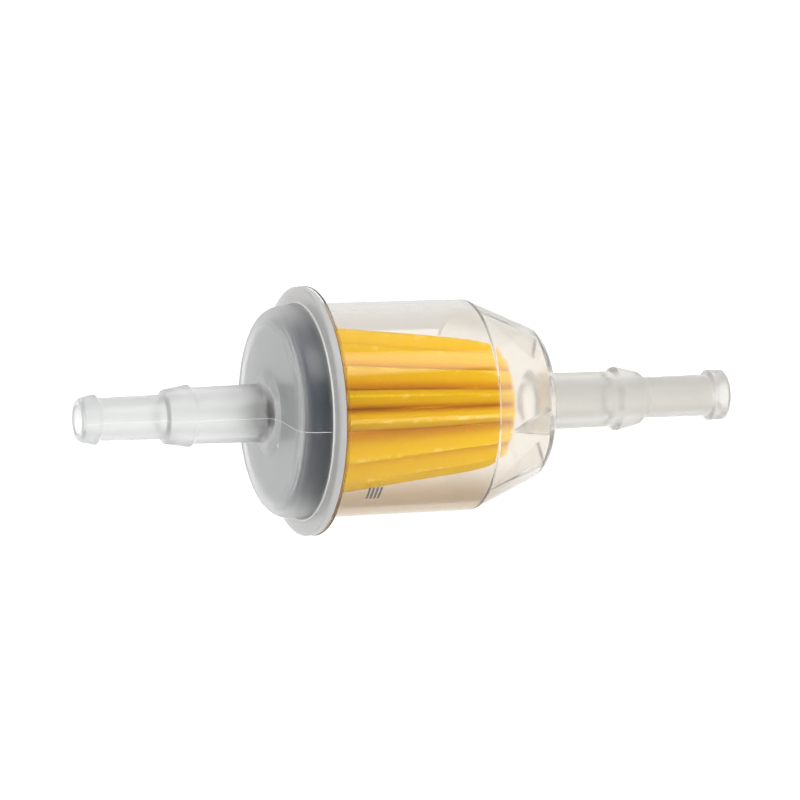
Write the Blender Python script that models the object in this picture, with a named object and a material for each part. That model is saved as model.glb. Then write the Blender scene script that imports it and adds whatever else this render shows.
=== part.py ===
"""In-line fuel filter: two moulded halves with stepped hose tails, and a pleated paper cone between them.

The axis lies along X. X = 0 is half way between the two tips, and the cap's tip is at -X.
Sizes are in millimetres. Each mesh is scaled to metres once it is made.
Profiles are lists of (x, r) points, measured along the axis and out from it.
"""

import math

import bmesh
import bpy
from mathutils import Vector

MM = 0.001
SEGMENTS = 48
CLEARANCE = 0.05

# Overall lengths, from the joint plane, which is the rear face of the bowl's flange.
CAP_LENGTH = 34.8
BOWL_LENGTH = 64.5
JOINT_X = CAP_LENGTH - (CAP_LENGTH + BOWL_LENGTH) / 2

# The flange is three layers: the cap's rim, the card brim and the bowl's thin rim.
FLANGE_RADIUS = 18.0
CAP_RIM_THICKNESS = 1.05
BRIM_THICKNESS = 0.2
BOWL_RIM_THICKNESS = 0.3
RIM_EDGE = 0.25

# Cap: a shallow drum with a big rounded shoulder.
DRUM_RADIUS = 15.1
DRUM_FOOT_RADIUS = 15.4
DRUM_HEIGHT = 6.5
SHOULDER_RADIUS = 2.7
WALL = 1.2

# Bowl: a cylinder, a cone and a flat end.
BOWL_RADIUS = 15.5
BOWL_CORNER_RADIUS = 15.38
BOWL_CORNER = 24.2
CORNER_ROUNDING = 2.0
CONE_SLOPE = 0.45
BOWL_END = 34.3
END_ROUNDING = 1.4

# Ribs inside the bowl's cone. Angles run from straight up towards -Y.
RIB_COUNT = 3
RIB_FIRST_ANGLE = 20.0
RIB_INNER_RADIUS = 7.2
RIB_THICKNESS = 0.9

# Stepped hose tails. Distances run from the tip towards the body.
BORE_TIP_RADIUS = 2.05
BORE_BODY_RADIUS = 2.35
CAP_TAIL = {
    "tip_radius": 2.75,
    "collar_front": (0.45, 3.14),
    "collar_peak": (2.45, 3.62),
    "collar_back": (3.0, 3.06),
    "neck_end": (12.3, 3.22),
    "step": (12.85, 3.88),
    "barb_peak": (16.4, 4.49),
    "barb_back": (16.95, 4.06),
    "tube_end": (26.6, 4.2),
}
BOWL_TAIL = {
    "tip_radius": 3.3,
    "collar_front": (0.4, 3.66),
    "collar_peak": (2.3, 3.72),
    "collar_back": (2.75, 3.06),
    "neck_end": (12.4, 2.98),
    "step": (13.7, 3.85),
    "barb_peak": (17.0, 4.68),
    "barb_back": (18.1, 4.06),
    "tube_end": (29.0, 4.15),
}

# Pleated paper cone. It starts on the glue ring and narrows to a nearly flat, closed end.
PLEATS = 16
PAPER_START = 0.55
PAPER_START_RADIUS = 12.1
PAPER_SHOULDER = 26.6
PAPER_SHOULDER_RADIUS = 9.3
PAPER_END = 28.6
PAPER_WALL = 0.7
PLEAT_DEPTH = 4.4
PLEAT_DEPTH_AT_END = 2.6
TIP_SEAL_RADIUS = 2.6
TIP_SEAL_THICKNESS = 0.8

# Pieces between the cap and the paper.
BRIM_INNER_RADIUS = 6.6
BRIM_OUTER_RADIUS = 17.6
GLUE_THICKNESS = 0.5
CUP_RADIUS = 13.65
CUP_HEIGHT = 4.3
CUP_WALL = 1.0
CUP_HOLE_RADIUS = 4.6


def clear_scene():
    for old in list(bpy.data.objects):
        bpy.data.objects.remove(old, do_unlink=True)


def material(name, colour, roughness, alpha=1.0):
    """A Principled material with a plain colour, which is see-through where alpha is under 1."""
    made = bpy.data.materials.new(name)
    made.use_nodes = True
    shader = made.node_tree.nodes["Principled BSDF"]
    shader.inputs["Base Color"].default_value = (*colour, 1.0)
    shader.inputs["Roughness"].default_value = roughness
    shader.inputs["Metallic"].default_value = 0.0
    shader.inputs["Alpha"].default_value = alpha
    made.diffuse_color = (*colour, alpha)
    return made


def arc(centre, radius, start, end, steps):
    """Points of a rounded corner, from angle start to end in degrees, with 0 pointing out from the axis."""
    points = []
    for step in range(steps + 1):
        angle = math.radians(start + (end - start) * step / steps)
        points.append((centre[0] + radius * math.sin(angle), centre[1] + radius * math.cos(angle)))
    return points


def tail(sizes, tip_x, inward):
    """Outside of a hose tail, from the rim of its end face to where the tube nears the body."""
    shape = [(0.0, sizes["tip_radius"])]
    shape += [point for name, point in sizes.items() if name != "tip_radius"]
    return [(tip_x + inward * distance, radius) for distance, radius in shape]


def add_mesh(name, mesh, finish):
    """Scales a finished bmesh to metres and links it as one smooth, sharp-edged object."""
    bmesh.ops.recalc_face_normals(mesh, faces=mesh.faces)
    bmesh.ops.scale(mesh, vec=Vector((MM, MM, MM)), verts=mesh.verts)
    data = bpy.data.meshes.new(name)
    mesh.to_mesh(data)
    mesh.free()
    data.shade_smooth()
    data.set_sharp_from_angle(angle=math.radians(28))
    data.materials.append(finish)
    piece = bpy.data.objects.new(name, data)
    bpy.context.scene.collection.objects.link(piece)
    return piece


def turned(name, profile, finish):
    """A ring of material: the closed profile, spun about the X axis."""
    mesh = bmesh.new()
    corners = [mesh.verts.new((x, 0.0, r)) for x, r in profile]
    edges = [mesh.edges.new((a, b)) for a, b in zip(corners, corners[1:] + corners[:1])]
    bmesh.ops.spin(
        mesh,
        geom=corners + edges,
        cent=(0.0, 0.0, 0.0),
        axis=(1.0, 0.0, 0.0),
        angle=math.tau,
        steps=SEGMENTS,
        use_merge=True,
    )
    return add_mesh(name, mesh, finish)


def plain_ring(name, start, thickness, inner, outer, finish):
    """A flat washer between two radii, from x = start."""
    end = start + thickness
    return turned(name, [(start, outer), (end, outer), (end, inner), (start, inner)], finish)


def rim_front_x():
    return JOINT_X - BOWL_RIM_THICKNESS - BRIM_THICKNESS - 2 * CLEARANCE - CAP_RIM_THICKNESS


def brim_x():
    return JOINT_X - BOWL_RIM_THICKNESS - CLEARANCE - BRIM_THICKNESS


def make_end_cap(finish):
    """Drum, rim and hose tail in one milky moulding."""
    tip = JOINT_X - CAP_LENGTH
    face = JOINT_X - DRUM_HEIGHT
    front = rim_front_x()
    rear = front + CAP_RIM_THICKNESS
    shoulder = (face + SHOULDER_RADIUS, DRUM_RADIUS - SHOULDER_RADIUS)
    inner_radius = SHOULDER_RADIUS - WALL
    bore_end = face + WALL

    outside = tail(CAP_TAIL, tip, 1)
    outside += [(face - 0.95, 4.45), (face - 0.4, 4.95), (face, 5.8)]
    outside += arc(shoulder, SHOULDER_RADIUS, -90, 0, 5)
    outside += [(front, DRUM_FOOT_RADIUS), (front, FLANGE_RADIUS - RIM_EDGE)]
    outside += [(front + RIM_EDGE, FLANGE_RADIUS), (rear, FLANGE_RADIUS)]
    inside = [(rear, DRUM_FOOT_RADIUS - WALL)]
    inside += arc(shoulder, inner_radius, 0, -90, 3)
    inside += [(bore_end, BORE_BODY_RADIUS + 0.4), (bore_end - 0.4, BORE_BODY_RADIUS), (tip, BORE_TIP_RADIUS)]
    return turned("end_cap", outside + inside, finish)


def bowl_outside():
    """The bowl's outer profile, from the rim to the root of its hose tail."""
    corner = JOINT_X + BOWL_CORNER
    end = JOINT_X + BOWL_END
    slope = math.degrees(math.atan(CONE_SLOPE))
    reach = CORNER_ROUNDING * math.tan(math.radians(slope / 2))
    corner_centre = (corner - reach, BOWL_CORNER_RADIUS - CORNER_ROUNDING)
    end_radius = BOWL_CORNER_RADIUS - CONE_SLOPE * (end - corner)
    turn = 90 - slope
    back = END_ROUNDING * math.tan(math.radians(turn / 2))
    end_centre = (end - END_ROUNDING, end_radius - back)

    profile = [(JOINT_X - BOWL_RIM_THICKNESS, FLANGE_RADIUS - 0.1), (JOINT_X - 0.1, FLANGE_RADIUS)]
    profile += [(JOINT_X, FLANGE_RADIUS - 0.15), (JOINT_X, BOWL_RADIUS + 0.5)]
    profile += [(JOINT_X + 0.15, BOWL_RADIUS + 0.12), (JOINT_X + 0.5, BOWL_RADIUS)]
    profile += arc(corner_centre, CORNER_ROUNDING, 0, slope, 3)
    profile += arc(end_centre, END_ROUNDING, slope, 90, 3)
    return profile


def bowl_inside():
    """The bowl's inner profile, from the bore's mouth back to the rim."""
    corner = JOINT_X + BOWL_CORNER
    end = JOINT_X + BOWL_END - WALL
    corner_radius = BOWL_CORNER_RADIUS - WALL
    end_radius = corner_radius - CONE_SLOPE * (end - corner)
    profile = [(end + 0.5, BORE_BODY_RADIUS), (end, BORE_BODY_RADIUS + 0.5)]
    profile += [(end, end_radius), (corner, corner_radius)]
    profile += [(JOINT_X - BOWL_RIM_THICKNESS, BOWL_RADIUS - WALL)]
    return profile


def rib_mesh(angle, finish):
    """A triangular rib that starts at the bowl's inner corner and deepens to the flat end."""
    start = JOINT_X + BOWL_CORNER + 0.4
    end = JOINT_X + BOWL_END - WALL
    wall_at_start = BOWL_CORNER_RADIUS - WALL - CONE_SLOPE * 0.4
    wall_at_end = wall_at_start - CONE_SLOPE * (end - start)
    sink = WALL / 2
    outline = [
        (start, wall_at_start),
        (end, RIB_INNER_RADIUS),
        (end + sink, RIB_INNER_RADIUS),
        (end + sink, wall_at_end),
        (start, wall_at_start + sink),
    ]
    turn = math.radians(angle)
    out = Vector((0.0, -math.sin(turn), math.cos(turn)))
    side = Vector((0.0, math.cos(turn), math.sin(turn))) * RIB_THICKNESS / 2
    mesh = bmesh.new()
    corners = [mesh.verts.new(Vector((x, 0.0, 0.0)) + out * r - side) for x, r in outline]
    face = mesh.faces.new(corners)
    pulled = bmesh.ops.extrude_face_region(mesh, geom=[face])
    moved = [part for part in pulled["geom"] if isinstance(part, bmesh.types.BMVert)]
    bmesh.ops.translate(mesh, verts=moved, vec=side * 2)
    return add_mesh(f"rib_{round(angle)}", mesh, finish)


def make_bowl(finish):
    """Clear cylinder, cone, ribs, rim and hose tail in one moulding."""
    tip = JOINT_X + BOWL_LENGTH
    end = JOINT_X + BOWL_END
    outside = bowl_outside()
    outside += [(end, 5.2), (end + 0.3, 4.5), (end + 0.9, 4.2)]
    outside += list(reversed(tail(BOWL_TAIL, tip, -1)))
    bowl = turned("bowl", outside + [(tip, BORE_TIP_RADIUS)] + bowl_inside(), finish)
    for number in range(RIB_COUNT):
        rib = rib_mesh(RIB_FIRST_ANGLE + 360 * number / RIB_COUNT, finish)
        rib.hide_render = True
        rib.display_type = "WIRE"
        join = bowl.modifiers.new("join " + rib.name, "BOOLEAN")
        join.operation = "UNION"
        join.solver = "EXACT"
        join.object = rib
    return bowl


def paper_ring(mesh, x, ridge, valley, pull):
    """One zigzag loop of the pleated cone, with each point moved towards the axis by pull."""
    loop = []
    for number in range(2 * PLEATS):
        angle = math.tau * number / (2 * PLEATS)
        radius = (valley if number % 2 else ridge) - pull
        loop.append(mesh.verts.new((x, -radius * math.sin(angle), radius * math.cos(angle))))
    return loop


def bridge(mesh, first, second):
    """Quads between two loops with the same number of points."""
    for number in range(len(first)):
        after = (number + 1) % len(first)
        mesh.faces.new((first[number], first[after], second[after], second[number]))


def make_filter_element(finish):
    """Pleated cone with a wall, open at the glue ring and closed at its narrow end."""
    mesh = bmesh.new()
    start = JOINT_X + PAPER_START
    shoulder = JOINT_X + PAPER_SHOULDER
    end = JOINT_X + PAPER_END
    stations = [
        (start, PAPER_START_RADIUS, PAPER_START_RADIUS - PLEAT_DEPTH),
        (shoulder, PAPER_SHOULDER_RADIUS, PAPER_SHOULDER_RADIUS - PLEAT_DEPTH_AT_END),
        (end - 0.4, PAPER_SHOULDER_RADIUS * 0.8, PAPER_SHOULDER_RADIUS * 0.6),
    ]
    outer = [paper_ring(mesh, x, ridge, valley, 0.0) for x, ridge, valley in stations]
    inner = [paper_ring(mesh, x, ridge, valley, PAPER_WALL) for x, ridge, valley in stations[:-1]]
    outer.append(paper_ring(mesh, end, 1.2, 1.2, 0.0))
    inner.append(paper_ring(mesh, end - 0.4 - PAPER_WALL, 5.0, 4.4, 0.0))
    for loops in (outer, inner):
        for first, second in zip(loops, loops[1:]):
            bridge(mesh, first, second)
        mesh.faces.new(loops[-1])
    bridge(mesh, outer[0], inner[0])
    return add_mesh("filter_element", mesh, finish)


def make_seam_strip(finish):
    """Strip of glue that closes the paper into a cone, along the inside of one valley."""
    angle = math.tau * 1.5 / PLEATS
    out = Vector((0.0, -math.sin(angle), math.cos(angle)))
    side = Vector((0.0, math.cos(angle), math.sin(angle)))
    ends = [
        (JOINT_X + PAPER_START + 0.4, PAPER_START_RADIUS - PLEAT_DEPTH),
        (JOINT_X + PAPER_SHOULDER - 1.0, PAPER_SHOULDER_RADIUS - PLEAT_DEPTH_AT_END),
    ]
    mesh = bmesh.new()
    loops = []
    for x, valley in ends:
        top = valley - PAPER_WALL - 0.4
        middle = Vector((x, 0.0, 0.0))
        corners = [(top, -0.6), (top, 0.6), (top - 0.4, 0.6), (top - 0.4, -0.6)]
        loops.append([mesh.verts.new(middle + out * r + side * across) for r, across in corners])
    bridge(mesh, loops[0], loops[1])
    mesh.faces.new(loops[0])
    mesh.faces.new(loops[1])
    return add_mesh("seam_strip", mesh, finish)


def make_tip_seal(finish):
    """Dab of hot-melt glue that closes the narrow end of the cone."""
    start = JOINT_X + PAPER_END + CLEARANCE
    end = start + TIP_SEAL_THICKNESS
    mesh = bmesh.new()
    rings = []
    for x, radius in ((start, TIP_SEAL_RADIUS), (start + 0.4, TIP_SEAL_RADIUS), (end, TIP_SEAL_RADIUS - 0.9)):
        made = bmesh.ops.create_circle(mesh, segments=24, radius=radius)["verts"]
        for corner in made:
            corner.co = Vector((x, corner.co.x, corner.co.y))
        rings.append(made)
    for first, second in zip(rings, rings[1:]):
        bridge(mesh, first, second)
    mesh.faces.new(rings[0])
    mesh.faces.new(rings[-1])
    return add_mesh("tip_seal", mesh, finish)


def make_retaining_cup(finish):
    """Dark cup inside the drum that presses the brim against the bowl, with a hole for the fuel."""
    rear = rim_front_x() + CAP_RIM_THICKNESS
    floor = rear - CUP_HEIGHT
    profile = [
        (floor, CUP_HOLE_RADIUS),
        (floor, CUP_RADIUS - 1.6),
        (floor + 0.45, CUP_RADIUS - 0.5),
        (floor + 1.5, CUP_RADIUS - 0.1),
        (rear, CUP_RADIUS),
        (rear, CUP_RADIUS - CUP_WALL),
        (floor + CUP_WALL, CUP_RADIUS - CUP_WALL - 0.6),
        (floor + CUP_WALL, CUP_HOLE_RADIUS),
    ]
    return turned("retaining_cup", profile, finish)


def main():
    clear_scene()
    milky = material("milky_polyamide", (0.80, 0.81, 0.80), 0.42, 0.8)
    clear = material("clear_polyamide", (0.78, 0.75, 0.68), 0.12, 0.3)
    paper = material("pleated_paper", (0.86, 0.52, 0.01), 0.85)
    card = material("brown_card", (0.32, 0.16, 0.07), 0.8)
    glue = material("hot_melt_glue", (0.72, 0.62, 0.40), 0.35)
    dark = material("dark_polyamide", (0.03, 0.035, 0.045), 0.5)

    make_end_cap(milky)
    make_bowl(clear)
    make_retaining_cup(dark)
    plain_ring("element_brim", brim_x(), BRIM_THICKNESS, BRIM_INNER_RADIUS, BRIM_OUTER_RADIUS, card)
    glue_x = brim_x() + BRIM_THICKNESS + CLEARANCE
    plain_ring("glue_ring", glue_x, GLUE_THICKNESS, BRIM_INNER_RADIUS, PAPER_START_RADIUS + 0.3, glue)
    make_filter_element(paper)
    make_seam_strip(glue)
    make_tip_seal(glue)


main()
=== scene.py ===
"""Finished looks of the in-line fuel filter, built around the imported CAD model."""

import math

import bmesh
import bpy
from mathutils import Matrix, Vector, noise


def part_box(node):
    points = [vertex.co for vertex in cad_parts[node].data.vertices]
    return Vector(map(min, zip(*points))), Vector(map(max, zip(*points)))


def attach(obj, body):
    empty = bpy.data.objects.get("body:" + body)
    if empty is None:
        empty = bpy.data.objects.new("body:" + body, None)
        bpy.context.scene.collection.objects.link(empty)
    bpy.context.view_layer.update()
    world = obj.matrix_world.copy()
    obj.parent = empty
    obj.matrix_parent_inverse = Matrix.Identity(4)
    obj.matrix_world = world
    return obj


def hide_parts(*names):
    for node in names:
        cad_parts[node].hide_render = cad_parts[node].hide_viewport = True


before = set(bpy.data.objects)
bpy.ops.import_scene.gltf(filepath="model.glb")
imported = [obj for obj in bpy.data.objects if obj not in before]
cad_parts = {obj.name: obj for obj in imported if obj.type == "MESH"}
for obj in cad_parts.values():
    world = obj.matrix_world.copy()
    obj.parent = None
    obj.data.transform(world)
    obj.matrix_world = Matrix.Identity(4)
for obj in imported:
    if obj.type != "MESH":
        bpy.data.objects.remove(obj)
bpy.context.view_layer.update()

bl_info = {
    "name": "In-line fuel filter",
    "version": (1, 0, 0),
    "blender": (4, 5, 0),
    "location": "View3D > Sidebar > Fuel filter",
    "description": "Builds the moulded halves, the pleated paper and the small pieces of a fuel filter",
    "category": "Object",
}

BODY = "root"
MM = 0.001

# Turned shapes. SUPPORT is how far from a corner the extra points stand that hold its shading.
SEGMENTS = 160
FINE_SEGMENTS = 360
ARC_STEPS = 5
SUPPORT = 0.08

# Lengths and radii in millimetres that the mouldings and the small pieces share.
CAP_FACE = 28.3  # from the cap's tip to the drum's face
CAP_RIM = 1.05  # thickness of the cap's rim
BOWL_RIM = 0.3  # thickness of the bowl's rim
WELD_GAP = 0.05  # between the cap's rim and the card
DRUM_FOOT = 15.4  # radius of the drum where it meets the rim
FOOT_GROOVE = 0.22  # width of the groove round the foot
BORE_TIP = 2.05  # radius of the bore at each tip
BORE_BODY = 2.35  # radius of the bore near the bowl
CARD_HOLE = 6.6  # radius of the hole in the card
CORNER_SHRINK = 0.12  # radius that the bowl has lost where its cone starts

# Ridges of the paper's folds, in degrees from straight up towards -Y, and the sheet's mesh steps.
FIRST_RIDGE = 12.0
RIDGE_ANGLES = (34.8, 53.1, 75.5, 94.1, 120.8, 145.2)
ACROSS_FOLD = 14
ALONG_CONE = 64

# Grain and streaks in millimetres, from one to the next.
SKIN_GRAIN = 0.385
FIBRE_PITCH = 0.455
FIBRE_CLUMP = 1.43
STREAK_WIDTH = 0.385
STREAK_LENGTH = 4.17
CARD_FRAY = 1.11

# The camera's direction in degrees, its distance and aim in metres, and its lens in millimetres. The
# floor's drop below the axis and its radius are in metres.
VIEW_AZIMUTH = -20.0
VIEW_ELEVATION = 6.3
VIEW_DISTANCE = 0.8
VIEW_AIM = Vector((-1.0, 0.0, 1.06)) * MM
VIEW_LENS = 248.7
SENSOR_WIDTH = 36.0
FLOOR_DROP = 0.062
FLOOR_RADIUS = 6.0


# ---------------------------------------------------------------- small tools


def linear(code):
    """Linear colour of an sRGB hex value."""
    values = [int(code[place:place + 2], 16) / 255 for place in (0, 2, 4)]
    return tuple(v / 12.92 if v <= 0.04045 else ((v + 0.055) / 1.055) ** 2.4 for v in values)


def add_node(tree, kind, inputs=None, **settings):
    """Adds a node with its settings. An input takes a number, a socket, or a node's first output."""
    made = tree.nodes.new(kind)
    for name, value in settings.items():
        setattr(made, name, value)
    for name, value in (inputs or {}).items():
        if isinstance(value, bpy.types.Node):
            value = value.outputs[0]
        if isinstance(value, bpy.types.NodeSocket):
            tree.links.new(value, made.inputs[name])
        else:
            made.inputs[name].default_value = value
    return made


def low(node):
    """Lowest corner of a CAD node, in millimetres."""
    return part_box(node)[0] / MM


def high(node):
    """Highest corner of a CAD node, in millimetres."""
    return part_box(node)[1] / MM


def joint():
    """Place along the axis, in millimetres, where the bowl's wall leaves its rim."""
    return low("bowl").x + BOWL_RIM


def drum_front():
    """Place along the axis, in millimetres, of the front of the cap's rim."""
    return low("element_brim").x - WELD_GAP - CAP_RIM


def rounded(corners):
    """A closed outline from (x, r, rounding) corners, with each corner turned into an arc."""
    outline = []
    for number, (x, r, rounding) in enumerate(corners):
        corner = Vector((x, r))
        if rounding == 0:
            outline.append(corner)
            continue
        before = Vector(corners[number - 1][:2]) - corner
        after = Vector(corners[(number + 1) % len(corners)][:2]) - corner
        half = before.angle(after) / 2
        reach = min(rounding / math.tan(half), 0.48 * before.length, 0.48 * after.length)
        radius = reach * math.tan(half)
        middle = (before.normalized() + after.normalized()).normalized()
        centre = corner + middle * radius / math.sin(half)
        first = corner + before.normalized() * reach - centre
        last = corner + after.normalized() * reach - centre
        start = math.atan2(first.y, first.x)
        sweep = (math.atan2(last.y, last.x) - start + math.pi) % math.tau - math.pi
        for step in range(ARC_STEPS + 1):
            angle = start + sweep * step / ARC_STEPS
            outline.append(centre + Vector((math.cos(angle), math.sin(angle))) * radius)
    return with_supports(outline)


def with_supports(outline):
    """Adds a point near each end of every straight run, so that a corner's shading stays at the corner."""
    supported = []
    for number, point in enumerate(outline):
        run = outline[(number + 1) % len(outline)] - point
        supported.append(point)
        if run.length > 4 * SUPPORT:
            supported.append(point + run.normalized() * SUPPORT)
            supported.append(point + run - run.normalized() * SUPPORT)
    return supported


def around(x, radius, angle):
    """Point at this place along the axis, with the angle in degrees from straight up towards -Y."""
    turn = math.radians(angle)
    return Vector((x, -radius * math.sin(turn), radius * math.cos(turn))) * MM


def new_piece(name, data, finish, nodes=()):
    """Links a finished mesh as one piece that rides on the filter and stands for CAD nodes."""
    if not data.polygons:
        raise RuntimeError(name + " came out without faces")
    data.materials.clear()
    data.materials.append(finish)
    data.shade_smooth()
    data.set_sharp_from_angle(angle=math.radians(30))
    piece = bpy.data.objects.new(name, data)
    bpy.context.scene.collection.objects.link(piece)
    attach(piece, BODY)
    if nodes:
        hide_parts(*nodes)
    return piece


def faces_out(data):
    """Turns a mesh's faces to point outwards."""
    made = bmesh.new()
    made.from_mesh(data)
    bmesh.ops.recalc_face_normals(made, faces=made.faces)
    made.to_mesh(data)
    made.free()
    return data


def mesh_data(name, points, faces):
    """A mesh from points and faces, with its faces turned to point out."""
    data = bpy.data.meshes.new(name)
    data.from_pydata(points, [], faces)
    return faces_out(data)


def turned(name, outline, segments=SEGMENTS):
    """Mesh of a closed outline turned about the axis."""
    points = []
    for segment in range(segments):
        angle = 360 * segment / segments
        points += [around(corner.x, corner.y, angle) for corner in outline]
    size = len(outline)
    faces = []
    for segment in range(segments):
        here = segment * size
        there = (segment + 1) % segments * size
        for number in range(size):
            after = (number + 1) % size
            faces.append((here + number, here + after, there + after, there + number))
    return mesh_data(name, points, faces)


def run_tree(tree, name, values, base=None):
    """Result of a Geometry Nodes tree as a plain mesh. The inputs are set before it first runs."""
    holder = bpy.data.objects.new(name, base or bpy.data.meshes.new(name))
    bpy.context.scene.collection.objects.link(holder)
    modifier = holder.modifiers.new("shape", "NODES")
    modifier.node_group = tree
    for item in tree.interface.items_tree:
        if item.item_type == "SOCKET" and item.in_out == "INPUT" and item.name in values:
            modifier[item.identifier] = values[item.name]
    graph = bpy.context.evaluated_depsgraph_get()
    result = bpy.data.meshes.new_from_object(holder.evaluated_get(graph))
    holder.modifiers.remove(modifier)
    bpy.data.objects.remove(holder)
    return result


def new_tree(name, inputs):
    """An empty Geometry Nodes tree with named inputs and one geometry output."""
    tree = bpy.data.node_groups.new(name, "GeometryNodeTree")
    for label, kind in inputs:
        tree.interface.new_socket(label, in_out="INPUT", socket_type="NodeSocket" + kind)
    tree.interface.new_socket("Geometry", in_out="OUTPUT", socket_type="NodeSocketGeometry")
    return tree


def end_tree(tree, shape, finish):
    """Makes the result real, gives it its material and sends it out."""
    real = add_node(tree, "GeometryNodeRealizeInstances", {0: shape})
    painted = add_node(tree, "GeometryNodeSetMaterial", {"Geometry": real, "Material": finish})
    add_node(tree, "NodeGroupOutput", {0: painted})


# ---------------------------------------------------------------- sizes and colours


class FilterSizes(bpy.types.PropertyGroup):
    """Sizes that shape the filter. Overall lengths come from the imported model."""

    wall: bpy.props.FloatProperty(
        name="Wall", description="Thickness of the moulded walls", default=0.0012, unit="LENGTH"
    )
    drum_height: bpy.props.FloatProperty(
        name="Drum height", description="From the joint to the drum's face", default=0.0065, unit="LENGTH"
    )
    drum_radius: bpy.props.FloatProperty(
        name="Drum radius", description="Radius of the drum at its shoulder", default=0.0151, unit="LENGTH"
    )
    bowl_radius: bpy.props.FloatProperty(
        name="Bowl radius", description="Radius of the clear cylinder", default=0.0155, unit="LENGTH"
    )
    bowl_corner: bpy.props.FloatProperty(
        name="Cone start", description="From the joint to the cone", default=0.0238, unit="LENGTH"
    )
    bowl_end: bpy.props.FloatProperty(
        name="Bowl end", description="From the joint to the bowl's flat end", default=0.0343, unit="LENGTH"
    )
    cone_slope: bpy.props.FloatProperty(
        name="Cone slope", description="Radius lost for each unit of length of the cone", default=0.44
    )
    rib_count: bpy.props.IntProperty(name="Ribs", description="Ribs inside the cone", default=3, min=2)
    rib_first: bpy.props.FloatProperty(
        name="First rib", description="Angle of the first rib", default=math.radians(20), subtype="ANGLE"
    )
    rib_thickness: bpy.props.FloatProperty(
        name="Rib width", description="Width of each rib at the flat end", default=0.0015, unit="LENGTH"
    )
    pleats: bpy.props.IntProperty(name="Pleats", description="Folds in the paper", default=16, min=6)
    pleat_depth: bpy.props.FloatProperty(
        name="Pleat depth", description="Depth of a fold at the open end", default=0.0044, unit="LENGTH"
    )
    paper_thickness: bpy.props.FloatProperty(
        name="Paper", description="Thickness of the filter paper", default=0.0003, unit="LENGTH"
    )


class FilterColours(bpy.types.PropertyGroup):
    """Colours of the mouldings, the paper and the small pieces."""

    milky: bpy.props.FloatVectorProperty(
        name="Milky plastic", description="Colour of the cap", subtype="COLOR", default=linear("E9EAE9")
    )
    clear: bpy.props.FloatVectorProperty(
        name="Clear plastic", description="Tint of the bowl", subtype="COLOR", default=linear("F0EDE8")
    )
    clear_tail: bpy.props.FloatVectorProperty(
        name="Clear tail", description="Tint of its hose tail", subtype="COLOR", default=linear("DBD9D4")
    )
    # Clear underside: painted warm light, the paper's yellow light shown as a warmer, darker colour low on
    # the bowl.
    clear_low_painted_light: bpy.props.FloatVectorProperty(
        name="Clear underside", description="Tint low on the bowl", subtype="COLOR", default=linear("B9A281")
    )
    paper: bpy.props.FloatVectorProperty(
        name="Paper", description="Colour of the filter paper", subtype="COLOR", default=linear("EEC200")
    )
    # Paper valleys: painted shade, a deeper orange for the bottoms of the folds.
    paper_painted_shade: bpy.props.FloatVectorProperty(
        name="Paper valleys", description="Colour deep in folds", subtype="COLOR", default=linear("C98400")
    )
    # Paper fibres: pale specks of raised fibres all over, and painted highlight in tufts along the folds'
    # ridges.
    paper_fibres_and_highlight: bpy.props.FloatVectorProperty(
        name="Paper fibres", description="Colour of raised fibres", subtype="COLOR", default=linear("FFDE6E")
    )
    card: bpy.props.FloatVectorProperty(
        name="Card", description="Colour of the brim", subtype="COLOR", default=linear("8A5A38")
    )
    dark: bpy.props.FloatVectorProperty(
        name="Dark plastic", description="Colour of the cup", subtype="COLOR", default=linear("1F3042")
    )
    glue: bpy.props.FloatVectorProperty(
        name="Glue", description="Colour of the hot-melt glue", subtype="COLOR", default=linear("DCCB98")
    )
    ink: bpy.props.FloatVectorProperty(
        name="Ink", description="Colour of the printed bars", subtype="COLOR", default=linear("5C5C5E")
    )


def sizes():
    """The sizes held by the scene."""
    return bpy.context.scene.fuel_filter_sizes


def colours():
    """The colours held by the scene."""
    return bpy.context.scene.fuel_filter_colours


# ---------------------------------------------------------------- materials


def principled(name, colour, roughness):
    """A new node material and its Principled shader."""
    made = bpy.data.materials.new(name)
    made.use_nodes = True
    shader = made.node_tree.nodes["Principled BSDF"]
    shader.inputs["Base Color"].default_value = (*colour, 1.0)
    shader.inputs["Roughness"].default_value = roughness
    return made, shader


def milky_polyamide():
    """Unfilled natural polyamide, moulded thick. Crystals in it scatter light, so it is milky and satin.

    The thinner the wall, the more light gets through it, so the drum's wall shows the dark cup and the
    thick rim shows almost nothing.
    """
    made, shader = principled("moulded_milky_polyamide", colours().milky, 0.3)
    tree = made.node_tree
    shader.inputs["IOR"].default_value = 1.53
    tip = low("end_cap").x * MM
    rear = high("end_cap").x * MM
    face = tip + CAP_FACE * MM
    length = rear - tip
    place = add_node(tree, "ShaderNodeTexCoord")
    parts = add_node(tree, "ShaderNodeSeparateXYZ", {0: place.outputs["Object"]})
    along = add_node(
        tree, "ShaderNodeMapRange", {"Value": parts.outputs["X"], "From Min": tip, "From Max": rear}
    )
    through = add_node(tree, "ShaderNodeValToRGB", {0: along})
    stops = (
        (0.0, 0.925),
        ((face - tip - 1.5 * MM) / length, 0.925),
        ((face - tip + 0.2 * MM) / length, 0.88),
        ((face - tip + 0.9 * MM) / length, 0.89),
        ((face - tip + 1.9 * MM) / length, 0.985),
        ((length - 1.3 * MM) / length, 0.995),
        ((length - 1.1 * MM) / length, 0.66),
    )
    ramp = through.color_ramp
    ramp.elements.remove(ramp.elements[0])
    for number, (spot, level) in enumerate(stops):
        stop = ramp.elements.new(spot) if number else ramp.elements[0]
        stop.position = spot
        stop.color = (level, level, level, 1.0)
    tree.links.new(through.outputs[0], shader.inputs["Transmission Weight"])
    grain = add_node(
        tree,
        "ShaderNodeTexNoise",
        {"Vector": place.outputs["Object"], "Scale": 1 / (SKIN_GRAIN * MM), "Detail": 3.0},
    )
    rise = add_node(tree, "ShaderNodeBump", {"Strength": 0.06, "Distance": 0.05 * MM, "Height": grain})
    tree.links.new(rise.outputs[0], shader.inputs["Normal"])
    return made


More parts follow.
